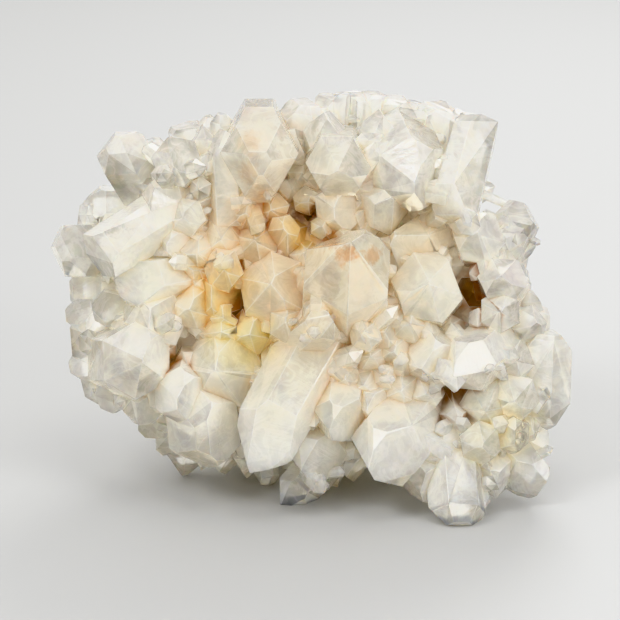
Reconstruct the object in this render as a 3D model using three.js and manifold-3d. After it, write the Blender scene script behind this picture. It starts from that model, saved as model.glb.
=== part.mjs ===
// A quartz crystal cluster, modelled as the one solid that it is: some two hundred quartz points that grew
// out of one milky mass and into each other. Millimetres, +Z up. The cluster stands on its lowest crystals,
// worn flat where they touch, and the origin is on that surface, below the middle of the bounding box.
import * as THREE from "three";
import { ConvexGeometry } from "three/addons/geometries/ConvexGeometry.js";
import { mergeVertices } from "three/addons/utils/BufferGeometryUtils.js";
import Module from "manifold-3d";

// ---- driving dimensions -------------------------------------------------------------------------------

const LEAN_DEG = 18; // the showy side leans back by this much, so that its crystals look up
const FLOOR_HEIGHT = -45.4; // where the standing surface lies below the middle of the cluster
const QUARTZ_COLOUR = 0xe9e2d6;

// The habit of quartz.
const SIDES = 6;
const RHOMB_DEG = 51.8; // between the long axis and the normal of a termination face
const TAPER_DEG = 1.5; // how much a prism face leans in towards the tip
const UNEVEN_PRISM = 0.08; // a prism face lies up to this share of its distance nearer or farther
const MAJOR_SET_BACK = 0.03; // every other termination face grew large: it passes this close to the tip,
const MINOR_SET_BACK = 0.13; // and the ones between stay small. Both are the most, as shares of the width

// The milky mass that carries the crystals.
const CORE_HALF = [52, 40, 21];
const CORE_CENTRE = [0, 1, -12];
const CORE_LUMP = 0.05; // the height of its lumps as a share of its half sizes
const CORE_SQUARE = 0.06; // how far its outline leaves an ellipse for a rounded rectangle
const CORE_DISH = 1; // how deep the middle of its showy side is sunk
const CORE_DISH_NARROW = 2.2; // a larger number makes the dish narrower

// Small crystals over the showy side, between and under the placed ones.
const FRONT_COUNT = 50;
const FRONT_WIDTH = [5, 9];
const FRONT_RISE = 4; // height over the mass, to which half the width is added
const FRONT_LEAN = 0.8;

// Broad, low crystals over the hidden side.
const BACK_COUNT = 42;
const BACK_WIDTH = [10, 18];
const BACK_RISE = 2;
const BACK_STEEP = [0.3, 0.55]; // the rest of their height as a share of the width
const BACK_LEAN = 0.9;
const BACK_SHARE = 0.9; // how much of the hidden side they cover, from its pole

const SLIVER = 0.35; // edges and steps smaller than this are closed up where crystals meet
const WELD = 1e-4; // corners of one crystal nearer than this are the same

// ---- the crystals, placed by hand ---------------------------------------------------------------------

// In the cluster's own frame: x to the right, y up along the showy side, z straight out of it.
// Each row is a name, the tip, the root, the width across the flats, and what is special about it:
//   spin    turn about the long axis in degrees; at 0 two prism faces look left and right
//   chisel  length of the ridge that replaces the point, as a share of the width
//   flat    thickness as a share of the width
//   apex    how far the tip lies off the middle of the crystal
//   worn    how much of the point is worn away, as a share of the width
//   both    true where the root end has a termination of its own
const UPPER_LEFT = [
  ["left_point", [-62, 15, 2], [-52, 15, -16], 13.4, { spin: 30, chisel: 0.3, worn: 0.1 }],
  ["left_stub", [-56.2, 22, -9], [-42, 20, -12], 6.2, {}],
  ["left_spike", [-57.6, 26.5, -8], [-38, 26, -12], 9.6, { spin: 10 }],
  ["corner_knob", [-47.6, 41.2, 12], [-41, 31, -9], 13.6, { spin: 30, chisel: 0.2, worn: 0.1 }],
  ["corner_shoulder", [-40.4, 44.6, -4], [-36, 22, -11], 11.4, { chisel: 0.5, spin: 0, worn: 0.25 }],
  ["corner_glassy", [-33.4, 36.5, 19], [-31, 36, -6], 12.6, { chisel: 0.35, spin: 20 }],
  ["corner_behind", [-30.4, 49.6, -4], [-26, 24, -10], 12.6, { chisel: 0.5, spin: 10, worn: 0.25 }],
  ["corner_bud", [-25.2, 49.6, -1], [-25, 38, -6], 5.8, { worn: 0.2 }],
  ["corner_bud_b", [-22, 50, 1], [-22, 38, -4], 5.6, { worn: 0.2 }],
  ["rose_column", [-26.4, 45.5, 8], [-23, 22, 4], 9.2, { chisel: 0.4, spin: 5 }],
  ["rose_column_b", [-21, 44, 12], [-19.5, 22, 6], 9.6, { chisel: 0.5, spin: 25 }],
  ["milky_prism", [-55.5, 10.8, 18], [-28, 28.4, 3], 14, { chisel: 0.3, spin: 25, worn: 0.35 }],
  ["milky_prism_b", [-38.5, 25.5, 15], [-30, 33, -2], 10, { chisel: 0.4, spin: 10 }],
  ["milky_prism_c", [-34.5, 15.5, 14], [-31, 19, 0], 8.4, { chisel: 0.4, spin: 0 }],
  ["pale_hexagon", [-31, 22.6, 17], [-29, 23, 0], 9.6, { spin: 20 }],
  ["druse_left", [-27.4, 29.6, 15], [-26, 31, 0], 5.8, {}],
];

const TOP = [
  ["rose_block", [-12, 36.8, 25], [-12.4, 41.4, -4], 24.8, { spin: 90, flat: 0.7, chisel: 0.1, worn: 0.04 }],
  ["pale_shoulder", [-0.8, 55.2, -1], [-3.6, 31, -7], 13, { chisel: 0.3, spin: 20, worn: 0.25 }],
  ["white_block", [4.6, 47.5, 11], [5, 30, -4], 12.6, { chisel: 0.4, spin: 15 }],
  ["rough_left", [5.4, 56.4, -3], [5, 36, -8], 8.4, { chisel: 0.3, worn: 0.28 }],
  ["rough_left_b", [8.6, 55.8, -1], [7, 36, -6], 6, { chisel: 0.4, worn: 0.25 }],
  ["high_a", [11.6, 56.2, -3], [11, 34, -9], 9, { chisel: 0.4, spin: 0, worn: 0.22 }],
  ["high_b", [16.6, 57.2, -5], [15, 34, -10], 9.6, { chisel: 0.4, spin: 25, worn: 0.28 }],
  ["high_c", [22.6, 55.4, -3], [20, 34, -9], 9, { chisel: 0.4, spin: 10, worn: 0.25 }],
  ["high_d", [18, 48.6, 8], [17, 34, -2], 9.4, { chisel: 0.4, spin: 20 }],
  ["rough_middle", [28, 54.4, -5], [24, 34, -9], 8.6, { chisel: 0.4, worn: 0.28 }],
  ["end_on_hexagon", [7, 34, 25], [7.2, 38.5, -2], 15, { spin: 30 }],
  ["milky_block", [26, 30, 22], [22, 41, -4], 18, { chisel: 0.25, spin: 4 }],
  ["beige_lip", [18.8, 21.6, 14], [18, 34, 0], 13.2, { chisel: 0.5, spin: 0, worn: 0.15 }],
  ["rough_right", [34.8, 53.6, 0], [29, 32, -7], 12.2, { chisel: 0.4, spin: 25, worn: 0.25 }],
  ["rough_right_bud", [30.6, 53, 0], [27, 36, -5], 6.4, { chisel: 0.4, worn: 0.25 }],
  ["rough_right_bud_b", [38.6, 49.8, 4], [33, 36, -4], 6.4, { chisel: 0.3, worn: 0.2 }],
  ["blade", [42.6, 49, 6], [34.8, 20, 17], 14.2, { chisel: 0.4, both: true, flat: 0.85, worn: 0.18 }],
];

const CROWN = [
  ["crown_a", [-30, 40, -16], [-24, 22, -12], 11, { chisel: 0.4, spin: 10 }],
  ["crown_b", [-19, 45.4, -14], [-17, 26, -12], 12, { chisel: 0.5, spin: 25 }],
  ["crown_c", [-7, 46, -16], [-6, 26, -12], 12.6, { chisel: 0.3, spin: 0 }],
  ["crown_d", [5, 48.6, -14], [4, 28, -12], 11.6, { chisel: 0.4, spin: 20 }],
  ["crown_e", [16.4, 48, -16], [14, 28, -12], 12.4, { chisel: 0.5, spin: 5 }],
  ["crown_f", [27.4, 46.4, -13], [23, 26, -11], 11.6, { chisel: 0.4, spin: 15 }],
  ["crown_g", [37, 39, -12], [30, 22, -11], 11.4, { chisel: 0.4, spin: 30 }],
];

const RIGHT = [
  ["blade_bud", [46.4, 31, -2], [37, 29, -5], 6.6, { spin: 10 }],
  ["bridge", [50.8, 25.6, 0], [43, 29, 2], 2.2, {}],
  ["under_blade", [37.4, 24.2, 14], [38, 18, 0], 7.6, { spin: 20 }],
  ["shoulder", [53, 25.4, 8], [49, 15.4, -6], 11.6, { spin: 15, chisel: 0.3, worn: 0.18 }],
  ["shoulder_bud", [56.6, 16.8, 0], [47, 15.4, -6], 7.6, { spin: 30 }],
  ["cream_hexagon", [41.2, 19, 18], [42.4, 16, -4], 13, { spin: 20 }],
  ["cream_hexagon_b", [48, 20, 9], [49, 14.6, -6], 10.2, { spin: 5 }],
  ["right_hexagon", [46.8, 8.2, 19], [48.4, 5, -4], 11.8, { spin: 25 }],
  ["right_hexagon_b", [46.8, -0.4, 19], [48.4, -1, -4], 10.4, { spin: 0 }],
  ["edge_a", [55.2, 6.4, 4], [44, 6, -6], 8.8, { spin: 15 }],
  ["edge_b", [57.8, 1.2, 3], [46, 1, -6], 8.2, { chisel: 0.3 }],
  ["edge_c", [59.8, -3, 2], [48, -2, -7], 8, { chisel: 0.4, spin: 10 }],
  ["edge_glint", [56, -3, 12], [50, -4, -5], 9.2, { spin: 40 }],
  ["window_prism", [59.4, -3, 5], [58.2, -30, 0], 12.6, { chisel: 0.4, both: true, spin: 12, worn: 0.2 }],
  ["window_bud", [65.3, -23.6, -2], [56, -22, -5], 5.4, {}],
  ["behind_window", [60, -16, -8], [46, -12, -12], 11.8, { chisel: 0.3 }],
  ["low_beige", [62, -27.6, -3], [48, -21, -9], 10, { chisel: 0.3, spin: 10 }],
  ["low_amber", [59.6, -35, -1], [46, -27, -8], 9.2, { chisel: 0.2, spin: 20 }],
  ["stub", [57.4, -44, 6], [46, -31, -4], 11.6, { chisel: 0.5, spin: 0 }],
  ["low_rose", [46, -45, 9], [44, -28, -5], 10.8, { chisel: 0.45, spin: 20 }],
  ["low_bud", [43, -49.4, 12], [41, -38, 4], 4.2, {}],
  ["amber_hexagon", [43, -25, 18], [43, -22, -2], 12.8, { spin: 30 }],
  ["amber_druse", [50.4, -31.4, 15], [49, -28, -4], 9.6, { chisel: 0.4, spin: 0 }],
  ["amber_druse_b", [55.6, -30.6, 9], [50, -27, -5], 7.6, {}],
  ["white_hexagon", [50.4, -22.4, 17], [50, -21, -4], 12.2, { spin: 15 }],
  ["low_hexagon", [42.2, -33.4, 20], [42, -31, -2], 10.4, { spin: 10 }],
  ["beige_slope", [37.4, -29.6, 13], [36, -20, -3], 9.6, { chisel: 0.4, spin: 15 }],
  ["bright_tip", [35.2, -15.8, 23], [47, -8, 2], 14.2, { spin: 25 }],
  ["beige_tip", [28, -14.2, 20], [37, -9, -2], 14.2, { spin: 0, chisel: 0.1 }],
  ["small_point", [41.4, 0.4, 13], [44, -10, 1], 6.2, { spin: 0 }],
  ["beige_prism", [44.6, -4, 12], [46.4, -21, 3], 10, { chisel: 0.4, both: true, spin: 15 }],
  ["yellow_mid", [50.5, -12, 14], [49, -13, -4], 11, { spin: 20, chisel: 0.2 }],
];

const CENTRE = [
  ["great_hexagon", [10, 16, 31], [9.6, -1, 3], 21.8, { spin: -4 }],
  ["feathery_hexagon", [-9.2, 6.4, 22], [-8, 3, -2], 17, { spin: 10 }],
  ["cream_block", [28.8, 6.4, 25], [28.6, 3, -2], 16.8, { spin: 20 }],
  ["brown_log", [20.8, 13, 12], [36, 22, -1], 12.2, { chisel: 0.5, spin: 0 }],
  ["brown_splinter", [30, 25.4, 10], [33, 13, -2], 8.2, { chisel: 0.3 }],
  ["under_hexagon", [6.8, 24, 16], [7.5, 29, -2], 12.2, { chisel: 0.4, spin: 5 }],
  ["brown_a", [-15.8, 24, 14], [-15, 24, -2], 9.8, { spin: 20 }],
  ["brown_b", [-9.6, 24.6, 12], [-8, 26, -2], 8.2, { spin: 40 }],
  ["brown_c", [-6, 18.4, 13], [-6, 18, -3], 11.2, { spin: 0 }],
  ["brown_d", [-13.6, 17, 15], [-13, 15, -2], 10.4, { spin: 10 }],
  ["brown_e", [-0.8, 14.4, 12], [-2, 12, -3], 8.4, { spin: 25 }],
  ["brown_f", [-0.4, 26.6, 11], [-1, 28, -3], 7.4, { spin: 10 }],
  ["brown_g", [-20.6, 26.8, 12], [-20, 27, -2], 7.6, { spin: 30 }],
  ["brown_h", [3.2, 20.6, 14], [2.4, 20, -3], 5.8, { spin: 0 }],
  ["rose_a", [-21.8, 17.4, 15], [-21, 17, -2], 11, { spin: 30 }],
  ["rose_b", [-27.6, 13.8, 16], [-27, 14, -2], 10.8, { spin: 0 }],
  ["amber_round", [-21.4, 10.6, 18], [-21, 8, -4], 10.6, { spin: 20, chisel: 0.2 }],
  ["amber_floor", [-24, 3.4, 14], [-21, 2, -4], 12, { spin: 0, chisel: 0.5 }],
  ["rose_c", [-29.4, 0.4, 16], [-28, 1, -4], 11.2, { spin: 10 }],
  ["yellow_low", [-14.8, -6, 16], [-14, -5, -2], 11.2, { spin: 15 }],
  ["yellow_low_b", [-21.6, -5.4, 16], [-20, -5, -4], 10, { spin: 40 }],
  ["yellow_block", [-22.2, -14.4, 19], [-19, -14, -4], 19, { spin: 25, chisel: 0.15 }],
  ["oblique_point", [5.4, -2, 26], [-4.5, -10, 10], 9.8, { chisel: 0.3, spin: 20 }],
  ["oblique_bud", [-5.4, -2.6, 20], [-6, -6, 2], 9.2, { spin: 0, chisel: 0.3 }],
  ["great_prism", [-14.4, -39.6, 19], [2.4, -7.5, 9], 17, { spin: 30, apex: [0.5, -1, -3.5] }],
  ["yellow_bud", [13.2, -5.4, 23], [14.4, -7.5, 4], 8.2, { spin: 15 }],
  ["clear_a", [18.4, -5.2, 18], [18, -7, 0], 10.4, { spin: 0 }],
  ["clear_b", [24.6, -3.4, 19], [24, -3, 0], 9.8, { spin: 20 }],
  ["clear_c", [15, -11.4, 17], [16, -10.5, 0], 10.4, { spin: 30 }],
  ["clear_d", [20.8, -10.2, 17], [21, -10, 0], 10.2, { spin: 10 }],
  ["clear_e", [18.6, -17, 16], [19, -15, 0], 10, { spin: 0 }],
  ["clear_f", [13.2, -18.6, 16], [14, -17, 0], 9, { spin: 25 }],
  ["clear_g", [22.6, -20, 16], [22, -18, -2], 9.2, { spin: 0 }],
  ["clear_h", [28.6, -20.8, 15], [29, -19, -2], 9.2, { spin: 25 }],
  ["clear_i", [8, -11.6, 18], [9, -12, 2], 8, { spin: 0 }],
  ["clear_j", [8.6, -17, 17], [9.5, -16, 0], 7.4, { spin: 20 }],
  ["clear_k", [20.6, 3.6, 17], [21, 2, -2], 8.4, { spin: 10 }],
];

const LOWER_LEFT = [
  ["beige_upper", [-46.4, 6, 15], [-29, 9.4, 2], 12.8, { chisel: 0.5, spin: 20 }],
  ["beige_lower", [-37.6, -6, 16], [-38, 4, -2], 14.4, { chisel: 0.4, spin: 30 }],
  ["grey_wedge", [-53, 0.8, 6], [-42, -1, -6], 9.4, { chisel: 0.4, spin: 10 }],
  ["great_block", [-40.6, -12.4, 24], [-47, -12.6, -4], 17.8, { spin: 0, chisel: 0.12 }],
  ["fringe_a", [-59.6, 5, -8], [-42, 6, -12], 10.4, { chisel: 0.6, spin: 0 }],
  ["fringe_b", [-61.4, -1.6, -7], [-42, -1, -11], 9.6, { chisel: 0.3, spin: 25 }],
  ["fringe_c", [-60, -8, -6], [-42, -7, -10], 11, { chisel: 0.6, spin: 10 }],
  ["fringe_d", [-59.4, -14, -5], [-42, -12, -9], 10.6, { chisel: 0.5, spin: 30 }],
  ["fringe_e", [-57, -19, -4], [-42, -15, -9], 10.6, { chisel: 0.5, spin: 10 }],
  ["fringe_f", [-52.6, -22.6, 0], [-41, -15, -8], 9.4, { chisel: 0.5, spin: 0 }],
  ["slope_glint", [-48.6, -24.6, 4], [-42, -18, -4], 5.6, { spin: 30 }],
  ["slope", [-42, -27.6, 8], [-41, -16, -5], 9.4, { chisel: 0.25, spin: 30 }],
  ["lilac", [-41.6, -30.6, -5], [-32, -22, -10], 10.6, { chisel: 0.35, spin: 25 }],
  ["lilac_b", [-37.6, -35.6, -7], [-29, -24, -11], 9.6, { chisel: 0.3, spin: 0 }],
  ["cream_round", [-32, -22.8, 19], [-31, -17, -3], 13.2, { spin: 0, chisel: 0.3 }],
  ["low_block", [-26, -32, 18], [-26, -24, -4], 18.8, { chisel: 0.3, spin: 5, worn: 0.06 }],
  ["band_a", [-27.6, -40, -11], [-24, -24, -13], 8.6, { chisel: 0.4, spin: 0 }],
  ["band_b", [-22, -41, -9], [-20, -24, -12], 9.4, { chisel: 0.5, spin: 20 }],
  ["band_c", [-16.4, -41.6, -7], [-14, -24, -11], 9.6, { chisel: 0.5, spin: 10 }],
];

const BOTTOM = [
  ["white_low", [-0.4, -40.4, 13], [4, -24, -2], 14.8, { chisel: 0.4, spin: 15 }],
  ["rose_low", [6.2, -29.6, 18], [9, -13, 2], 13.6, { chisel: 0.5, spin: 5 }],
  ["rose_low_b", [14.8, -26, 15], [16.5, -16, 0], 9.6, { chisel: 0.3, spin: 20 }],
  ["milky_low", [15.2, -39.8, 21], [27, -24, -1], 19.4, { chisel: 0.15, spin: 12 }],
  ["band_d", [10, -42.4, -6], [11, -24, -11], 10.4, { chisel: 0.6, spin: 20 }],
  ["band_e", [19, -42.6, -4], [19, -24, -10], 11, { chisel: 0.6, spin: 10 }],
  ["tooth", [28.4, -45.2, 12], [30, -28, -4], 13.4, { chisel: 0.5, spin: 10 }],
  ["behind_foot", [22.6, -43.6, 4], [23, -26, -6], 8.8, { chisel: 0.4 }],
];

const FEET = [
  ["foot_right", [36.6, -55.4, 16], [35.4, -32, 5], 13, { chisel: 0.3, spin: 18, worn: 0.16 }],
  ["foot_middle", [-7.2, -49.2, 2.5], [5.5, -36, -6], 9.8, { spin: 25 }],
  ["foot_left", [-32, -42.6, -17.7], [-29, -22, -13], 11.5, { spin: 0 }],
  ["foot_back_right", [23, -36.6, -41], [21, -20, -20], 12, { spin: 20 }],
  ["foot_back_left", [-15, -36.4, -41.5], [-13, -20, -20], 11, { spin: 40 }],
];

// Where a crystal broke away and left its print, which runs deep between the others.
const PRINTS = [
  ["print_centre", [-17.4, -0.6, -8], [-17.4, -0.4, 30], 4.6, {}],
  ["print_brown", [-0.4, 23, 0], [-0.4, 23, 30], 3, {}],
  ["print_left", [-33, -15.4, 0], [-33, -15.4, 30], 3.6, {}],
  ["print_right", [41.4, 4.6, -18], [41.4, 4.6, 30], 11, { flat: 0.75, spin: 30 }],
  ["print_low", [35.8, -22.4, 0], [35.8, -22.4, 30], 3.2, {}],
];

// ---- a repeatable source of small differences ---------------------------------------------------------

function randomFrom(seed) {
  let state = seed >>> 0;
  return () => {
    state = (state + 0x6d2b79f5) >>> 0;
    let t = Math.imul(state ^ (state >>> 15), 1 | state);
    t = (t + Math.imul(t ^ (t >>> 7), 61 | t)) ^ t;
    return ((t ^ (t >>> 14)) >>> 0) / 4294967296;
  };
}

function seedOf(name) {
  return [...name].reduce((sum, letter) => Math.imul(sum, 31) + letter.charCodeAt(0), 7);
}

// ---- one crystal --------------------------------------------------------------------------------------

// The corners of the convex body that all the planes bound.
function cornersOf(planes) {
  const corners = [];
  const point = new THREE.Vector3();
  const meet = new THREE.Matrix3();
  for (let i = 0; i < planes.length; i++)
    for (let j = i + 1; j < planes.length; j++)
      for (let k = j + 1; k < planes.length; k++) {
        const [a, b, c] = [planes[i], planes[j], planes[k]];
        meet.set(...a.normal.toArray(), ...b.normal.toArray(), ...c.normal.toArray());
        if (Math.abs(meet.determinant()) < WELD) continue;
        point.set(-a.constant, -b.constant, -c.constant).applyMatrix3(meet.invert());
        if (planes.every((plane) => plane.distanceToPoint(point) < WELD)) corners.push(point.clone());
      }
  return corners;
}

// A plane by the way it faces and its distance from the origin that way.
function planeAt(normal, distance) {
  return new THREE.Plane(normal.normalize(), -distance);
}

function angleOf(side) {
  return (side * 2 * Math.PI) / SIDES;
}

// True for the two opposite faces that keep the full width, and that a chisel ridge runs between.
function isBroadSide(side) {
  return side % (SIDES / 2) === 0;
}

// The faces of a termination that comes to its point at the apex, and the plane that wear left across it.
// The way is 1 for the tip and -1 for the root end.
function terminationPlanes(apex, width, { chisel = 0, worn = 0 }, way, random) {
  const slope = THREE.MathUtils.degToRad(RHOMB_DEG);
  const halfRidge = (chisel * width) / 2;
  const planes = [];
  for (let side = 0; side < SIDES; side++) {
    const turn = angleOf(side);
    const normal = new THREE.Vector3(
      Math.cos(turn) * Math.sin(slope),
      Math.sin(turn) * Math.sin(slope),
      way * Math.cos(slope),
    );
    const ridge = isBroadSide(side) ? 0 : halfRidge * Math.sin(slope) * Math.cos(Math.PI / SIDES);
    const setBack = (side % 2 === 0 ? MAJOR_SET_BACK : MINOR_SET_BACK) * random() * width;
    planes.push(planeAt(normal, normal.dot(apex) + ridge + setBack));
  }
  if (worn) planes.push(planeAt(new THREE.Vector3(0, 0, way), way * apex.z - worn * width));
  return planes;
}

// A hexagonal prism with its termination, from the origin to its apex.
function crystalPlanes(apex, width, options, random) {
  const { flat = 1, both = false } = options;
  const taper = THREE.MathUtils.degToRad(TAPER_DEG);
  const planes = [];
  for (let side = 0; side < SIDES; side++) {
    const turn = angleOf(side);
    const normal = new THREE.Vector3(Math.cos(turn), Math.sin(turn), Math.tan(taper));
    const uneven = 1 + UNEVEN_PRISM * (2 * random() - 1);
    planes.push(planeAt(normal, (width / 2) * (isBroadSide(side) ? 1 : flat) * uneven));
  }
  planes.push(...terminationPlanes(apex, width, options, 1, random));
  if (both) planes.push(...terminationPlanes(new THREE.Vector3(), width, options, -1, random));
  else planes.push(planeAt(new THREE.Vector3(0, 0, -1), 0));
  return planes;
}

// The crystal in place, in the cluster's own frame.
function crystalGeometry([name, tip, root, width, options]) {
  const random = randomFrom(seedOf(name));
  const from = new THREE.Vector3(...root);
  const to = new THREE.Vector3(...tip);
  const offAxis = new THREE.Vector3(...(options.apex ?? [0, 0, 0]));
  const axis = to.clone().sub(offAxis).sub(from).normalize();
  const upright = Math.abs(axis.y) > 0.9; // then +y is no help to tell which way is up
  const up = upright ? new THREE.Vector3(0, 0, -1) : new THREE.Vector3(0, 1, 0);
  const across = new THREE.Vector3().crossVectors(up, axis).normalize();
  const along = new THREE.Vector3().crossVectors(axis, across);
  const spin = THREE.MathUtils.degToRad(options.spin ?? random() * 60);
  const place = new THREE.Matrix4().makeBasis(across, along, axis).setPosition(from);
  place.multiply(new THREE.Matrix4().makeRotationZ(spin));
  const apex = to.clone().applyMatrix4(place.clone().invert());
  return new ConvexGeometry(cornersOf(crystalPlanes(apex, width, options, random))).applyMatrix4(place);
}

// ---- the milky mass behind the crystals ---------------------------------------------------------------

// A slab with a rounded, lumpy outline, dished on its showy side.
function coreGeometry() {
  const core = new THREE.IcosahedronGeometry(1, 3);
  const at = core.getAttribute("position");
  const p = new THREE.Vector3();
  for (let i = 0; i < at.count; i++) {
    p.fromBufferAttribute(at, i);
    const waves = Math.sin(5.1 * p.x + 1.3) * Math.sin(4.3 * p.y + 0.4) * Math.sin(4.7 * p.z + 2.1);
    const lump = 1 + CORE_LUMP * waves;
    const square = 1 / Math.pow(p.x ** 4 + p.y ** 4 + WELD, CORE_SQUARE);
    const fromMiddle = p.x ** 2 + p.y ** 2;
    const dish = CORE_DISH * Math.max(p.z, 0) * Math.exp(-CORE_DISH_NARROW * fromMiddle);
    at.setXYZ(
      i,
      CORE_CENTRE[0] + CORE_HALF[0] * p.x * lump * square,
      CORE_CENTRE[1] + CORE_HALF[1] * p.y * lump * square,
      CORE_CENTRE[2] + CORE_HALF[2] * p.z * lump - dish,
    );
  }
  return core;
}

// ---- crystals that a loop places ----------------------------------------------------------------------

// Places spread evenly over the mass, from the pole of its showy side (way 1) or its hidden side (way -1)
// out to the share of that half: each a point on the mass, the way out of it, and how near the pole it is.
function placesOnCore(count, way, share) {
  const centre = new THREE.Vector3(...CORE_CENTRE);
  const half = new THREE.Vector3(...CORE_HALF);
  const golden = Math.PI * (3 - Math.sqrt(5));
  const places = [];
  for (let i = 0; i < count; i++) {
    const nearPole = 1 - (share * (i + 0.5)) / count;
    const rim = Math.sqrt(1 - nearPole * nearPole);
    const out = new THREE.Vector3(rim * Math.cos(i * golden), rim * Math.sin(i * golden), way * nearPole);
    const point = out.clone().multiply(half).add(centre);
    const normal = out.divide(half).normalize();
    places.push({ point, normal, nearPole });
  }
  return places;
}

function between([low, high], share) {
  return low + (high - low) * share;
}

// A row for a crystal that rises from a point of the mass, and goes as deep into it as it is wide.
function risingRow(name, point, axis, width, rise, chisel) {
  const tip = point.clone().addScaledVector(axis, rise);
  const root = point.clone().addScaledVector(axis, -width);
  return [name, tip.toArray(), root.toArray(), width, { chisel }];
}

function frontCrystals() {
  const random = randomFrom(1313);
  return placesOnCore(FRONT_COUNT, 1, 1).map(({ point, normal }, i) => {
    const lean = new THREE.Vector3(random() - 0.5, random() - 0.5, random() - 0.2);
    const axis = normal.addScaledVector(lean, FRONT_LEAN).normalize();
    const width = between(FRONT_WIDTH, random());
    return risingRow("front_" + i, point, axis, width, FRONT_RISE + width / 2, 0.4 * random());
  });
}

function backCrystals() {
  const random = randomFrom(4711);
  return placesOnCore(BACK_COUNT, -1, BACK_SHARE).map(({ point, normal, nearPole }, i) => {
    const lean = new THREE.Vector3(random() - 0.5, random() - 0.5, random() - 0.5);
    const axis = normal.addScaledVector(lean, BACK_LEAN).normalize();
    const width = between(BACK_WIDTH, random());
    const rise = BACK_RISE + width * between(BACK_STEEP, random()) * (0.4 + 0.6 * nearPole);
    return risingRow("back_" + i, point, axis, width, rise, 0.5 * random());
  });
}

// ---- joining ------------------------------------------------------------------------------------------

const wasm = await Module();
wasm.setup();

function solidOf(geometry) {
  const bare = geometry.clone();
  for (const name of Object.keys(bare.attributes)) if (name !== "position") bare.deleteAttribute(name);
  const merged = mergeVertices(bare, WELD);
  return new wasm.Manifold(
    new wasm.Mesh({
      numProp: 3,
      vertProperties: new Float32Array(merged.attributes.position.array),
      triVerts: new Uint32Array(merged.index.array),
    }),
  );
}

function geometryOf(solid) {
  const mesh = solid.getMesh();
  const geometry = new THREE.BufferGeometry();
  geometry.setAttribute("position", new THREE.BufferAttribute(mesh.vertProperties, 3));
  geometry.setIndex(new THREE.BufferAttribute(mesh.triVerts, 1));
  return geometry;
}

// From the cluster's own frame to the standing frame: x stays, the showy side leans back.
const STAND = new THREE.Matrix4().makeRotationX(THREE.MathUtils.degToRad(90 - LEAN_DEG));

function joined(geometries) {
  return wasm.Manifold.union(geometries.map((geometry) => solidOf(geometry.applyMatrix4(STAND))));
}

function clusterSolid() {
  const spread = [...frontCrystals(), ...backCrystals()];
  const ground = joined([coreGeometry(), ...spread.map(crystalGeometry)]);
  const prints = joined(PRINTS.map(crystalGeometry));
  const placed = [UPPER_LEFT, TOP, CROWN, RIGHT, CENTRE, LOWER_LEFT, BOTTOM, FEET].flat();
  return ground.subtract(prints).add(joined(placed.map(crystalGeometry)));
}

// The solid without what would reach below the surface it stands on.
function wornFlat(solid) {
  const [wide, deep] = [400, 100];
  const slab = new THREE.BoxGeometry(wide, wide, deep);
  slab.translate(0, 0, FLOOR_HEIGHT - deep / 2);
  return solid.subtract(solidOf(slab));
}

// The outer skin alone, so that no pocket between the roots is left shut inside.
function withoutPockets(solid) {
  return solid.decompose().reduce((best, each) => (each.volume() > best.volume() ? each : best));
}

const grown = wornFlat(clusterSolid()).asOriginal().simplify(SLIVER);
const cluster = geometryOf(withoutPockets(grown));
cluster.computeBoundingBox();
const middle = cluster.boundingBox.getCenter(new THREE.Vector3());
cluster.translate(-middle.x, -middle.y, -cluster.boundingBox.min.z);

const quartz = new THREE.MeshStandardMaterial({ color: QUARTZ_COLOUR, roughness: 0.15, metalness: 0 });
const mesh = new THREE.Mesh(cluster, quartz);
mesh.name = "quartz_cluster";

const part = new THREE.Group();
part.add(mesh);
export default part;
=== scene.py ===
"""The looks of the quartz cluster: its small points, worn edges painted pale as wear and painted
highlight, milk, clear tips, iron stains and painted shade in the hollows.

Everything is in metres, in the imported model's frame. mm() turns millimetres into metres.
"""
import math
import random

import bmesh
import bpy
import numpy as np
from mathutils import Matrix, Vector
from mathutils.bvhtree import BVHTree


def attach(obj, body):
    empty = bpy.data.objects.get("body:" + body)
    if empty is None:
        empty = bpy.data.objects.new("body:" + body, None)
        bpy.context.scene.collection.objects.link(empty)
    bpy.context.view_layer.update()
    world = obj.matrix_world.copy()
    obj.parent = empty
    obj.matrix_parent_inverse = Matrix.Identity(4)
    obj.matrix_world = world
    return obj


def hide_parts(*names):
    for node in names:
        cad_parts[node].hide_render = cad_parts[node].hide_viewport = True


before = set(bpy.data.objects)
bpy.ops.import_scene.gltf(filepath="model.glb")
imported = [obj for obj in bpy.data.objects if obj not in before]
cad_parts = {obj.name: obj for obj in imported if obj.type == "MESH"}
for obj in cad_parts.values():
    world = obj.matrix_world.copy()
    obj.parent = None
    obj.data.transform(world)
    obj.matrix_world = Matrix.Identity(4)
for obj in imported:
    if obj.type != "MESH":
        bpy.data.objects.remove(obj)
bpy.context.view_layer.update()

NODE = "quartz_cluster"


def mm(value):
    return value / 1000


# ---- driving values ------------------------------------------------------------------------------

LEAN = math.radians(18)  # the showy side leans back by this much
FACE_HEIGHT = mm(45.4)  # height of the showy side's middle above the floor
FACE_BACK = mm(6.2)  # and how far in front of the box's middle it lies
WELD = mm(0.001)  # vertices closer than this are one
FLAT_ANGLE = math.radians(0.6)  # triangles closer than this to one plane are one facet
WORN_EDGE = mm(0.26)  # width of the worn band along a sharp edge
WORN_ANGLE = math.radians(14)  # gentler edges than this aren't worn
WORN_LENGTH = mm(0.9)  # nor are shorter ones
STRAY = mm(0.12)  # how far the worn band may leave the old surface
LONGEST_EDGE = mm(3.6)  # longer edges are split, for the values painted on the vertices
SPLIT_ROUNDS = 4
VIEW_DISTANCE = mm(900)
VIEW_WIDTH = mm(155)
ACROSS = Vector((1, 0, 0))
UP_FACE = Vector((0, math.sin(LEAN), math.cos(LEAN)))
OUT_FACE = Vector((0, -math.cos(LEAN), math.sin(LEAN)))
MIDDLE = Vector((0, -FACE_BACK, FACE_HEIGHT))

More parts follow.
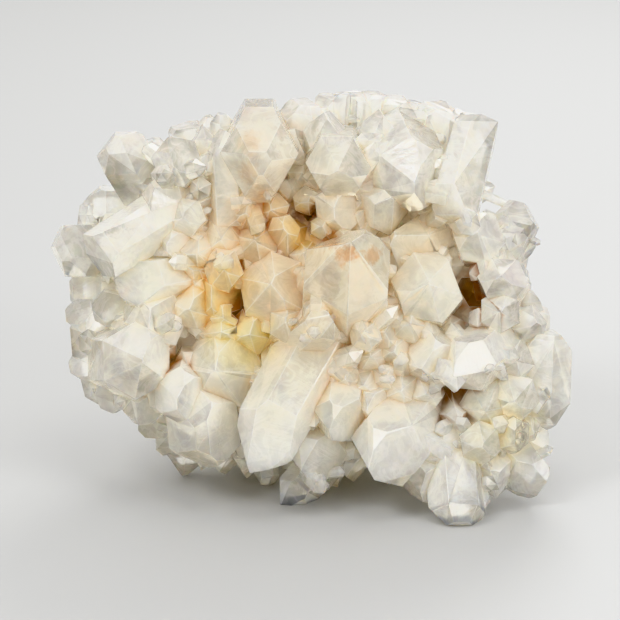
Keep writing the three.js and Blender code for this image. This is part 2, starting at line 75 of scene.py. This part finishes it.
# The small points. Lengths in small_crystal() are shares of its width.
SEED = 77
SMALL_POINTS = 560
TRIES = SMALL_POINTS * 6  # most places that are looked at for them
SMALL_WIDTH = (mm(1.7), mm(5.4))
NARROW_BIAS = 1.5  # above 1, narrow ones are commoner than wide ones
HEIGHT_SHARE = (0.7, 1.0)  # shortest height, and the most that chance adds
WOBBLE = 0.35  # how far their axes stray from the surface's own direction
SPIN = 6.28  # radians
TIP_SHARE = 0.7  # the pointed end
SUNK_SHARE = 0.8  # what is below the surface
CORNER_SHARE = 0.577  # from a hexagon's middle to its corner
CORNER_RANGE = (0.88, 0.24)  # smallest factor on that, and the most that chance adds
COLLAR_RANGE = 0.32  # how unevenly high the corners below the tip lie
COLLAR_STEP = 0.1  # every second corner lies this much higher
TAPER = 0.96
TIP_OFF_SHARE = 0.4  # widest square within which the tip lies
FLOOR_GAP = mm(2.5)  # no small points below this
SKY_RAYS = 14
SKY_REACH = mm(9)  # free sky is judged within this distance
HOLLOW_SKY = 0.5  # a place with less free sky than this is a hollow
SHUT_SKY = 0.2  # one with less than this is too narrow for a point
HOLLOW_CHANCE = 0.9
DRUSE_CHANCE = 0.45
# Where they crowd on the showy side: mm right, mm up, reach.
DRUSE = [
    (17, -14, 11), (-33, 35, 7), (-9, 25, 8), (-24, 7, 10), (48, -30, 9), (55, 14, 8),
    (4, -39, 8), (-2, -6, 6), (-33, -3, 5), (38, 24, 5), (46, -14, 6), (-17, 27, 6), (30, -18, 6),
]
PIT_RADIUS = 5.5  # mm round the middle of each of PITS that stay free of them

# What is painted on the skin.
RAY_LIFT = mm(0.05)  # rays start this far off the surface
CAVITY_RAYS = 20
CAVITY_REACH = mm(16)
SHORTEST_LINE = mm(3)  # a prism side's edge is at least this long
PAIR_SHARE = 0.35  # and has another at least this share as long
PAIR_DOT = 0.99  # that runs the same way
PLACE_STEPS = 5000  # steps in a metre to which a facet's middle is rounded

# What a face of the skin is: its material index, until paint() turns it into painted values.
FACET, EDGE_BAND, SMALL_POINT = range(3)


# ---- the skin ------------------------------------------------------------------------------------


def new_object(name, bm):
    """A linked object with bm's mesh and an empty slot for each kind of face."""
    mesh = bpy.data.meshes.new(name)
    bm.to_mesh(mesh)
    bm.free()
    for _ in range(3):
        mesh.materials.append(None)
    made = bpy.data.objects.new(name, mesh)
    bpy.context.scene.collection.objects.link(made)
    return made


def facets_of_node():
    """The CAD node's mesh with one polygon for each flat facet."""
    bm = bmesh.new()
    bm.from_mesh(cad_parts[NODE].data)
    bmesh.ops.remove_doubles(bm, verts=bm.verts, dist=WELD)
    bmesh.ops.dissolve_limit(bm, angle_limit=FLAT_ANGLE, verts=bm.verts, edges=bm.edges)
    bm.normal_update()
    for face in bm.faces:
        face.material_index = FACET
    return bm


def tree_of(mesh):
    mesh.calc_loop_triangles()
    corners = [v.co for v in mesh.vertices]
    triangles = [t.vertices for t in mesh.loop_triangles]
    return BVHTree.FromPolygons(corners, triangles, all_triangles=True)


def hemisphere(count):
    """Evenly spread directions about +Z."""
    golden = math.pi * (3 - math.sqrt(5))
    rays = []
    for i in range(count):
        height = (i + 0.5) / count
        rim = math.sqrt(1 - height * height)
        rays.append(Vector((rim * math.cos(i * golden), rim * math.sin(i * golden), height)))
    return rays


def openness(tree, point, normal, rays, reach):
    """How much of the sky over a surface point is free, 0 to 1."""
    turn = normal.to_track_quat("Z", "Y").to_matrix()
    start = point + normal * RAY_LIFT
    free = 0.0
    for ray in rays:
        hit = tree.ray_cast(start, turn @ ray, reach)
        free += 1.0 if hit[0] is None else hit[3] / reach
    return free / len(rays)


def small_crystal(bm, base, axis, width, height, spin, rng):
    """Adds a six-sided point to bm."""
    turn = axis.to_track_quat("Z", "Y").to_matrix()
    collar = height - width * TIP_SHARE
    ring_low, ring_high = [], []
    for side in range(6):
        angle = spin + side * math.pi / 3
        reach = width * CORNER_SHARE * (CORNER_RANGE[0] + CORNER_RANGE[1] * rng.random())
        foot = Vector((reach * math.cos(angle), reach * math.sin(angle), -width * SUNK_SHARE))
        rise = collar + width * (COLLAR_RANGE * rng.random() + COLLAR_STEP * (side % 2))
        head = Vector((foot.x * TAPER, foot.y * TAPER, rise))
        ring_low.append(bm.verts.new(base + turn @ foot))
        ring_high.append(bm.verts.new(base + turn @ head))
    off = width * TIP_OFF_SHARE
    tip = Vector(((rng.random() - 0.5) * off, (rng.random() - 0.5) * off, height))
    apex = bm.verts.new(base + turn @ tip)
    bm.faces.new(list(reversed(ring_low)))
    for side in range(6):
        other = (side + 1) % 6
        bm.faces.new((ring_low[side], ring_low[other], ring_high[other], ring_high[side]))
        bm.faces.new((ring_high[side], ring_high[other], apex))


def in_druse(point):
    """1 in the middle of a patch where small points crowd, 0 outside all of them."""
    place = (point - MIDDLE) * 1000
    if place.dot(OUT_FACE) < 0:
        return 0.0
    across, up = place.dot(ACROSS), place.dot(UP_FACE)
    return max(0.0, *(1 - math.hypot(across - x, up - y) / reach for x, y, reach in DRUSE))


def in_pit(point):
    """Whether a point lies in line with one of the dark hollows, which stay open."""
    place = (point - MIDDLE) * 1000
    across, up = place.dot(ACROSS), place.dot(UP_FACE)
    return any(math.hypot(across - x, up - y) < PIT_RADIUS for _, (x, y), *_ in PITS)


def small_points(mesh):
    """The druse of small points in the hollows between the big crystals of mesh, as one object."""
    rng = random.Random(SEED)
    tree = tree_of(mesh)
    rays = hemisphere(SKY_RAYS)
    triangles = list(mesh.loop_triangles)
    areas = np.array([t.area for t in triangles])
    picks = np.random.default_rng(SEED).choice(len(triangles), size=TRIES, p=areas / areas.sum())
    bm = bmesh.new()
    placed = 0
    for pick in picks:
        triangle = triangles[pick]
        a, b, c = (mesh.vertices[i].co for i in triangle.vertices)
        u, v = sorted((rng.random(), rng.random()))
        point = a * u + b * (v - u) + c * (1 - v)
        if point.z < FLOOR_GAP:
            continue
        sky = openness(tree, point, triangle.normal, rays, SKY_REACH)
        wanted = HOLLOW_CHANCE if sky < HOLLOW_SKY else DRUSE_CHANCE * in_druse(point)
        if rng.random() > wanted or sky < SHUT_SKY:
            continue
        width = SMALL_WIDTH[0] + (SMALL_WIDTH[1] - SMALL_WIDTH[0]) * rng.random() ** NARROW_BIAS
        wobble = Vector((rng.gauss(0, WOBBLE), rng.gauss(0, WOBBLE), rng.gauss(0, WOBBLE)))
        axis = (triangle.normal + wobble).normalized()
        height = width * (HEIGHT_SHARE[0] + HEIGHT_SHARE[1] * rng.random())
        spin = rng.random() * SPIN
        if in_pit(point):
            continue
        small_crystal(bm, point, axis, width, height, spin, rng)
        placed += 1
        if placed == SMALL_POINTS:
            break
    bmesh.ops.recalc_face_normals(bm, faces=bm.faces)
    for face in bm.faces:
        face.material_index = SMALL_POINT
    return new_object("small_points", bm)


def applied(obj):
    """Bakes obj's modifiers into its mesh."""
    graph = bpy.context.evaluated_depsgraph_get()
    mesh = bpy.data.meshes.new_from_object(obj.evaluated_get(graph))
    obj.modifiers.clear()
    obj.data = mesh


def grow_together(skin, points):
    """Joins the small points to the skin as one closed surface."""
    join = skin.modifiers.new("join", "BOOLEAN")
    join.operation = "UNION"
    join.solver = "EXACT"
    join.use_self = True
    join.object = points
    applied(skin)
    bpy.data.objects.remove(points)
    drop_inner_faces(skin)


def drop_inner_faces(skin):
    """Deletes the little hollows that the small points shut in, and keeps the outer surface."""
    bm = bmesh.new()
    bm.from_mesh(skin.data)
    highest = max(bm.verts, key=lambda vertex: vertex.co.z)
    outer = set(highest.link_faces)
    front = list(outer)
    while front:
        for edge in front.pop().edges:
            for face in edge.link_faces:
                if face not in outer:
                    outer.add(face)
                    front.append(face)
    inner = [face for face in bm.faces if face not in outer]
    bmesh.ops.delete(bm, geom=inner, context="FACES")
    bm.to_mesh(skin.data)
    bm.free()


def worn_skin(bm):
    """The facets with a narrow band along each sharp outward edge, as a new object."""
    before = BVHTree.FromBMesh(bm)
    sharp = []
    for edge in bm.edges:
        long_enough = edge.calc_length() > WORN_LENGTH
        if long_enough and edge.is_convex and edge.calc_face_angle() > WORN_ANGLE:
            sharp.append(edge)
    made = bmesh.ops.bevel(
        bm, geom=sharp, offset=WORN_EDGE, offset_type="WIDTH", segments=2, profile=0.5,
        affect="EDGES", clamp_overlap=False, loop_slide=True,
    )
    for face in made["faces"]:
        face.material_index = EDGE_BAND
    pull_in_strays(bm, before)
    bmesh.ops.triangulate(bm, faces=bm.faces)
    return new_object("quartz_skin", bm)


def pull_in_strays(bm, before):
    """Moves the few vertices that the bands threw off the old surface back to their neighbours."""
    strays = {v for v in bm.verts if before.find_nearest(v.co)[3] > STRAY}
    while strays:
        mended = set()
        for vertex in strays:
            near = [e.other_vert(vertex) for e in vertex.link_edges]
            sound = [v.co for v in near if v not in strays]
            if sound:
                middle = sum(sound, Vector()) / len(sound)
                vertex.co = before.find_nearest(middle)[0]
                mended.add(vertex)
        if not mended:
            break
        strays -= mended


def split_long_edges(skin):
    """Splits the skin's edges until few are longer than LONGEST_EDGE."""
    bm = bmesh.new()
    bm.from_mesh(skin.data)
    for _ in range(SPLIT_ROUNDS):
        long_edges = [e for e in bm.edges if e.calc_length() > LONGEST_EDGE]
        if not long_edges:
            break
        bmesh.ops.subdivide_edges(bm, edges=long_edges, cuts=1)
        bmesh.ops.triangulate(bm, faces=bm.faces)
    bm.to_mesh(skin.data)
    bm.free()


# ---- material ------------------------------------------------------------------------------------

IOR = 1.544
# Transmission: in the milkiest and the clearest clouds, and what changes it.
CLEAR_RANGE = (0.49, 0.61)
HOLLOW_FACTOR = 0.5
TONE_CLEAR = 0.22  # how far it may differ from facet to facet
RIM_CLEAR = 0.18  # what the cluster's rim adds
VEIL_MILK = 0.06  # what a veil takes off
EDGE_MILK = 0.02  # and a worn edge
CLOUD_SPAN = (0.3, 0.7)  # of the cloud noise, from milkiest to clearest
HOLLOW_SPAN = (0.1, 0.7)  # of the painted cavity, over which it falls
RIM_SPAN = (34, 62)  # mm from the middle, over which it rises
RIM_SQUASH = 1.2  # heights count this much more than widths in that
# Noises: scale in 1/mm, detail, roughness, distortion.
CLOUD = (0.11, 3.0, 0.5, 0.4)
RIDGE = (0.16, 5.0, 0.6, 1.3)  # veils lie where it is near its middle
VEIL_WIDTH = 0.09
TINT_SPAN = (0.2, 0.7)  # of the transmission, from MILK to CLEAR_TINT
GLOSS = (0.5, 3.0, 0.6)
UNEVEN = (0.4, 4.0, 0.55)
SHAKE_DETAIL = (3.0, 0.6)
WIDE_SHAKE = (0.12, 14)  # scale, and how many mm it may shift the outline of a broad stain
NEAR_SHAKE = (0.5, 6)  # the same for the stains up to NEAR_REACH
NEAR_REACH = 6
FULL_SHARE = 0.3  # a stain has its whole strength within this share of its reach
BACK_SHARE = 0.25  # and this share of it behind
BACK_SPAN = (-42, -18)  # mm out of the showy side's middle
STAIN_CAVITY = (0.1, 0.6, 0.7, 1.0)  # cavity from, to, and a stain's share there
PIT_CAVITY = (0.4, 0.75, 0.0, 1.0)  # the same for PITS
ROUGH_SPAN = (0.35, 0.75)  # of its noise
ROUGH_RANGE = (0.02, 0.1)
LINE_SCALE = 1.6  # growth lines, in 1/mm
LINE_DETAIL = 4.0
LINE_RELIEF = 0.6
BUMP_STRENGTH = 0.42
BUMP_HEIGHT = mm(0.35)
SCATTER_RADIUS = (1.0, 0.9, 0.75)
SCATTER_SCALE = mm(7)
ABSORB_TINT = (0.955, 0.93, 0.84)
ABSORB_DENSITY = 50
MILK = (0.91, 0.885, 0.81)
CLEAR_TINT = (1.0, 0.995, 0.955)
EDGE_WEAR_HIGHLIGHT_TINT = (0.98, 0.98, 0.95)
EDGE_WEAR_HIGHLIGHT = 0.25  # how far a worn edge is painted pale: partly rubbed wear, partly a painted highlight along the edge
ROOT_TINT_AND_SHADE = (0.80, 0.70, 0.55)  # in the hollows of the middle: a warm root tint, darkened as painted shade
RIM_HOLLOW_SHADE = (0.80, 0.78, 0.72)  # and in those of the rim: painted shade, a plain grey darkening
ROOT_AND_SHADE_RIM_SPAN = (26, 52)  # mm from the middle, from one to the other
ROOT_AND_SHADE_SPAN = (0.2, 0.8)  # of the cavity
ROOT_AND_SHADE_PAINT = 0.65  # how far the deepest hollows take them, so how dark the painted shade gets
# Iron stains: where on the showy side (mm right, mm up), their reach, strength and colour.
STAINS = [
    ("rose_middle", (-6, 8), 42, 0.75, (0.88, 0.74, 0.55)),
    ("tan_middle", (-12, 12), 24, 0.45, (0.80, 0.61, 0.40)),
    ("beige_low", (14, -16), 22, 0.4, (0.86, 0.72, 0.55)),
    ("beige_right", (28, 4), 22, 0.35, (0.87, 0.77, 0.60)),
    ("cream_left", (-44, 7), 16, 0.3, (0.90, 0.82, 0.62)),
    ("rose_block", (-10, 42), 14, 0.4, (0.86, 0.72, 0.58)),
    ("beige_top", (7, 34), 12, 0.25, (0.82, 0.70, 0.55)),
    ("honey_right", (27, 20), 13, 0.6, (0.78, 0.62, 0.40)),
    ("yellow_right", (48, -29), 14, 0.5, (0.88, 0.74, 0.42)),
    ("brown_top", (-12, 23), 12, 0.6, (0.80, 0.52, 0.27)),
    ("amber_top", (-2, 20), 6.5, 0.8, (0.86, 0.55, 0.17)),
    ("amber_left", (-23, 4), 12, 0.8, (0.90, 0.60, 0.20)),
    ("yellow_left", (-17, -8), 12, 0.75, (0.95, 0.77, 0.34)),
    ("speck_one", (5, 17), 3, 0.9, (0.74, 0.42, 0.20)),
    ("speck_two", (9, 13.5), 3.4, 1.0, (0.70, 0.34, 0.12)),
    ("speck_three", (15, 13.5), 3, 0.9, (0.74, 0.42, 0.20)),
    ("speck_four", (-15, 41), 4, 0.6, (0.82, 0.58, 0.36)),
    ("speck_five", (-15, 34), 3.5, 0.6, (0.82, 0.58, 0.36)),
]
# The same for the dark stains deep between the crystals: iron stains, and in the right-hand pocket
# also painted shade.
PITS = [
    ("rust_pit", (-17, 0), 6, 1.0, (0.36, 0.13, 0.03)),
    ("brown_pit", (-1, 23), 5, 1.0, (0.25, 0.08, 0.02)),
    ("rust_left", (-33, -15), 7, 1.0, (0.50, 0.22, 0.06)),
    # The right-hand pocket: brown iron stain on its walls, made darker still as painted shade for
    # the deep pocket.
    ("rust_and_shade_right", (41, 4), 11, 1.0, (0.36, 0.12, 0.02)),
    ("brown_low", (36, -22), 8, 1.0, (0.28, 0.10, 0.02)),
]


class Nodes:
    """Short names for building a material's node tree."""

    def __init__(self, tree):
        self.tree = tree

    def add(self, kind, **settings):
        node = self.tree.nodes.new("ShaderNode" + kind)
        for name, value in settings.items():
            setattr(node, name, value)
        return node

    def link(self, source, target):
        self.tree.links.new(source, target)

    def put(self, socket, value):
        """A link where value is a socket, else its constant."""
        if isinstance(value, bpy.types.NodeSocket):
            self.link(value, socket)
        else:
            socket.default_value = value

    def math(self, operation, a, b=0.0, clamp=False):
        node = self.add("Math", operation=operation, use_clamp=clamp)
        self.put(node.inputs[0], a)
        self.put(node.inputs[1], b)
        return node.outputs[0]

    def vector(self, operation, a, b=(0, 0, 0)):
        node = self.add("VectorMath", operation=operation)
        self.put(node.inputs[0], a)
        self.put(node.inputs[1], b)
        gives_number = operation in ("DOT_PRODUCT", "LENGTH")
        return node.outputs["Value" if gives_number else "Vector"]

    def noise(self, vector, scale, detail=2.0, rough=0.5, distortion=0.0):
        node = self.add("TexNoise")
        self.put(node.inputs["Vector"], vector)
        self.put(node.inputs["Scale"], scale)
        self.put(node.inputs["Detail"], detail)
        self.put(node.inputs["Roughness"], rough)
        self.put(node.inputs["Distortion"], distortion)
        return node

    def span(self, value, low, high, to_low=0.0, to_high=1.0):
        """to_low up to low, to_high from high on, and a soft step between."""
        node = self.add("MapRange", interpolation_type="SMOOTHSTEP")
        for name, number in (("Value", value), ("From Min", low), ("From Max", high)):
            self.put(node.inputs[name], number)
        self.put(node.inputs["To Min"], to_low)
        self.put(node.inputs["To Max"], to_high)
        return node.outputs["Result"]

    def mix(self, factor, a, b):
        node = self.add("Mix", data_type="RGBA")
        self.put(node.inputs["Factor"], factor)
        self.put(node.inputs[6], a)
        self.put(node.inputs[7], b)
        return node.outputs[2]


def rgba(colour):
    return (*colour, 1.0)


def face_position(n):
    """Where a point lies, in mm across, up and out of the showy side."""
    place = n.add("TexCoord").outputs["Object"]
    place = n.vector("SUBTRACT", place, MIDDLE)
    combine = n.add("CombineXYZ")
    for socket, direction in zip(combine.inputs, (ACROSS, UP_FACE, OUT_FACE)):
        n.link(n.vector("DOT_PRODUCT", place, direction * 1000), socket)
    return combine.outputs[0]


def stained(n, colour, place, cavity):
    """colour with the iron stains over it, strongest in the hollows and on the showy side, and with
    painted shade darkening the right-hand pocket.
    """
    flat = n.vector("MULTIPLY", place, (1, 1, 0))
    wide = n.vector("ADD", flat, shake(n, place, *WIDE_SHAKE))
    near = n.vector("ADD", flat, shake(n, place, *NEAR_SHAKE))
    split = n.add("SeparateXYZ")
    n.link(place, split.inputs[0])
    front = n.span(split.outputs["Z"], *BACK_SPAN, BACK_SHARE, 1.0)
    shallow = n.math("MULTIPLY", front, n.span(cavity, *STAIN_CAVITY))
    deep = n.math("MULTIPLY", front, n.span(cavity, *PIT_CAVITY))
    for stains, where in ((STAINS, shallow), (PITS, deep)):
        for _, (x, y), reach, strength, tint in stains:
            start = wide if reach > NEAR_REACH else near
            away = n.vector("LENGTH", n.vector("SUBTRACT", start, (x, y, 0)))
            amount = n.span(away, reach * FULL_SHARE, reach, strength, 0.0)
            colour = n.mix(n.math("MULTIPLY", amount, where), colour, rgba(tint))
    return colour


def shake(n, place, scale, reach):
    """A shift of up to half of reach, for a ragged outline."""
    warp = n.noise(place, scale, *SHAKE_DETAIL).outputs["Color"]
    warp = n.vector("SUBTRACT", warp, (0.5, 0.5, 0.5))
    return n.vector("MULTIPLY", warp, (reach, reach, 0))


def quartz():
    material = bpy.data.materials.new("quartz")
    material.use_nodes = True
    n = Nodes(material.node_tree)
    shader = material.node_tree.nodes["Principled BSDF"]
    place = face_position(n)
    cavity = n.add("Attribute", attribute_name="cavity").outputs["Fac"]
    edge = n.add("Attribute", attribute_name="edge").outputs["Fac"]
    tone = n.add("Attribute", attribute_name="tone").outputs["Fac"]

    # Milk: broad clouds and thin curved veils.
    cloud = n.noise(place, *CLOUD).outputs["Fac"]
    ridge = n.noise(place, *RIDGE).outputs["Fac"]
    ridge = n.math("ABSOLUTE", n.math("SUBTRACT", ridge, 0.5))
    veil = n.span(ridge, 0.0, VEIL_WIDTH, 1.0, 0.0)
    in_hollow = n.span(cavity, *HOLLOW_SPAN, 1.0, HOLLOW_FACTOR)
    clear = n.math("MULTIPLY", n.span(cloud, *CLOUD_SPAN, *CLEAR_RANGE), in_hollow)
    clear = n.math("ADD", clear, n.math("MULTIPLY", n.math("SUBTRACT", tone, 0.5), TONE_CLEAR))
    rim = n.vector("LENGTH", n.vector("MULTIPLY", place, (1, RIM_SQUASH, 0)))
    clear = n.math("ADD", clear, n.span(rim, *RIM_SPAN, 0.0, RIM_CLEAR))
    clear = n.math("SUBTRACT", clear, n.math("MULTIPLY", veil, VEIL_MILK), clamp=True)
    clear = n.math("SUBTRACT", clear, n.math("MULTIPLY", edge, EDGE_MILK), clamp=True)
    n.link(clear, shader.inputs["Transmission Weight"])
    shader.inputs["IOR"].default_value = IOR

    colour = n.mix(n.span(clear, *TINT_SPAN), rgba(MILK), rgba(CLEAR_TINT))
    # Hollows painted darker by their cavity: painted shade, with a warm root tint in the middle and
    # grey at the rim.
    root = n.mix(n.span(rim, *ROOT_AND_SHADE_RIM_SPAN), rgba(ROOT_TINT_AND_SHADE), rgba(RIM_HOLLOW_SHADE))
    colour = n.mix(n.span(cavity, *ROOT_AND_SHADE_SPAN, 0.0, ROOT_AND_SHADE_PAINT), colour, root)
    colour = stained(n, colour, place, cavity)
    # Worn edge bands painted pale: partly rubbed wear, partly a painted highlight standing for
    # light caught on the edges.
    colour = n.mix(n.math("MULTIPLY", edge, EDGE_WEAR_HIGHLIGHT), colour, rgba(EDGE_WEAR_HIGHLIGHT_TINT))
    n.link(colour, shader.inputs["Base Color"])

    shader.inputs["Subsurface Weight"].default_value = 1.0
    shader.inputs["Subsurface Radius"].default_value = SCATTER_RADIUS
    shader.inputs["Subsurface Scale"].default_value = SCATTER_SCALE
    rough = n.noise(place, *GLOSS).outputs["Fac"]
    n.link(n.span(rough, *ROUGH_SPAN, *ROUGH_RANGE), shader.inputs["Roughness"])

    # Relief: growth lines across the prism faces, over a gentle unevenness.
    along = n.add("Attribute", attribute_name="along").outputs["Fac"]
    striped = n.add("Attribute", attribute_name="striped").outputs["Fac"]
    lines = n.add("TexNoise", noise_dimensions="1D")
    lines.inputs["Scale"].default_value = LINE_SCALE
    lines.inputs["Detail"].default_value = LINE_DETAIL
    n.link(along, lines.inputs["W"])
    lines = n.math("MULTIPLY", lines.outputs["Fac"], striped)
    uneven = n.noise(place, *UNEVEN).outputs["Fac"]
    bump = n.add("Bump")
    bump.inputs["Strength"].default_value = BUMP_STRENGTH
    bump.inputs["Distance"].default_value = BUMP_HEIGHT
    n.link(n.math("ADD", uneven, n.math("MULTIPLY", lines, LINE_RELIEF)), bump.inputs["Height"])
    n.link(bump.outputs[0], shader.inputs["Normal"])

    absorb = n.add("VolumeAbsorption")
    absorb.inputs["Color"].default_value = rgba(ABSORB_TINT)
    absorb.inputs["Density"].default_value = ABSORB_DENSITY
    n.link(absorb.outputs[0], material.node_tree.nodes["Material Output"].inputs["Volume"])
    return material


# ---- painted values ------------------------------------------------------------------------------


def growth_lines(bm):
    """A tree of bm's facets, the way each one's prism points, and each one's middle.

    The way is None where the facet isn't the side of a prism.
    """
    ways, middles = [], []
    for face in bm.faces:
        middles.append([round(value * PLACE_STEPS) for value in face.calc_center_median()])
        longest = max(face.edges, key=lambda e: e.calc_length())
        ends = longest.verts
        way = (ends[1].co - ends[0].co).normalized()
        length = longest.calc_length()
        pairs = 0
        for edge in face.edges:
            other = edge.verts[1].co - edge.verts[0].co
            same_way = abs(other.normalized().dot(way)) > PAIR_DOT
            if edge is not longest and other.length > length * PAIR_SHARE and same_way:
                pairs += 1
        ways.append(way if pairs and length > SHORTEST_LINE else None)
    return BVHTree.FromBMesh(bm), ways, middles


def paint(skin, growth):
    """Stores on the skin how hidden each vertex is, and each face's wear band, tone and growth
    lines; the wear band is painted pale, as wear and painted highlight.
    """
    mesh = skin.data
    tree = tree_of(mesh)
    rays = hemisphere(CAVITY_RAYS)
    cavity = []
    for vertex in mesh.vertices:
        cavity.append(1.0 - openness(tree, vertex.co, vertex.normal, rays, CAVITY_REACH))
    mesh.attributes.new("cavity", "FLOAT", "POINT").data.foreach_set("value", cavity)

    facets, ways, middles = growth
    tones = [random.Random(str(middle)).random() for middle in middles]
    edge, striped, along, tone = [], [], [], []
    for face in mesh.polygons:
        facet = facets.find_nearest(face.center)[2]
        edge.append(float(face.material_index == EDGE_BAND))
        way = ways[facet] if face.material_index == FACET else None
        striped.append(0.0 if way is None else 1.0)
        tone.append(tones[facet])
        for corner in face.vertices:
            along.append(0.0 if way is None else mesh.vertices[corner].co.dot(way) * 1000)
    mesh.attributes.new("edge", "FLOAT", "FACE").data.foreach_set("value", edge)
    mesh.attributes.new("tone", "FLOAT", "FACE").data.foreach_set("value", tone)
    mesh.attributes.new("striped", "FLOAT", "FACE").data.foreach_set("value", striped)
    mesh.attributes.new("along", "FLOAT", "CORNER").data.foreach_set("value", along)


# ---- stage ---------------------------------------------------------------------------------------

FLOOR_SIZE = mm(12000)
FLOOR_GREY = (0.40, 0.405, 0.41)
FLOOR_ROUGHNESS = 0.6
SKY_COLOUR = (1.0, 0.985, 0.95)
SKY_STRENGTH = 1.1
# Square lights that face the cluster: where in mm, how wide in mm, and watts.
LIGHTS = {
    "key": ((-420, -420, 700), 300, 3.0),
    "fill": ((560, -460, 300), 200, 2.1),
    "top": ((120, -260, 900), 360, 1.3),
    "rim": ((160, 520, 460), 300, 2.0),
}
SENSOR_WIDTH = 36  # mm, as Blender counts it
NEAREST, FURTHEST = mm(20), mm(20000)


def floor():
    bpy.ops.mesh.primitive_plane_add(size=FLOOR_SIZE)
    ground = bpy.context.object
    ground.name = "floor"
    material = bpy.data.materials.new("floor")
    material.use_nodes = True
    shader = material.node_tree.nodes["Principled BSDF"]
    shader.inputs["Base Color"].default_value = rgba(FLOOR_GREY)
    shader.inputs["Roughness"].default_value = FLOOR_ROUGHNESS
    ground.data.materials.append(material)


def area_light(name, place, size, power):
    light = bpy.data.lights.new(name, "AREA")
    light.size = mm(size)
    light.energy = power
    lamp = bpy.data.objects.new(name, light)
    lamp.location = [mm(value) for value in place]
    lamp.rotation_euler = (MIDDLE - lamp.location).to_track_quat("-Z", "Y").to_euler()
    bpy.context.scene.collection.objects.link(lamp)


def studio():
    bpy.context.scene.view_settings.view_transform = "Khronos PBR Neutral"
    world = bpy.data.worlds.new("studio")
    world.use_nodes = True
    back = world.node_tree.nodes["Background"]
    back.inputs["Color"].default_value = rgba(SKY_COLOUR)
    back.inputs["Strength"].default_value = SKY_STRENGTH
    bpy.context.scene.world = world
    for name, (place, size, power) in LIGHTS.items():
        area_light(name, place, size, power)


def camera():
    data = bpy.data.cameras.new("camera")
    data.sensor_width = SENSOR_WIDTH
    data.lens = data.sensor_width * VIEW_DISTANCE / VIEW_WIDTH
    data.clip_start = NEAREST
    data.clip_end = FURTHEST
    eye = bpy.data.objects.new("camera", data)
    eye.location = MIDDLE + OUT_FACE * VIEW_DISTANCE
    eye.rotation_euler = (-OUT_FACE).to_track_quat("-Z", "Y").to_euler()
    bpy.context.scene.collection.objects.link(eye)
    bpy.context.scene.camera = eye


# ---- run -----------------------------------------------------------------------------------------

camera()
facets = facets_of_node()
growth = growth_lines(facets)
skin = worn_skin(facets)
grow_together(skin, small_points(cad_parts[NODE].data))
split_long_edges(skin)
paint(skin, growth)
skin.data.materials.clear()
skin.data.materials.append(quartz())
for face in skin.data.polygons:
    face.material_index = 0
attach(skin, "root")
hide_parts(NODE)
floor()
studio()
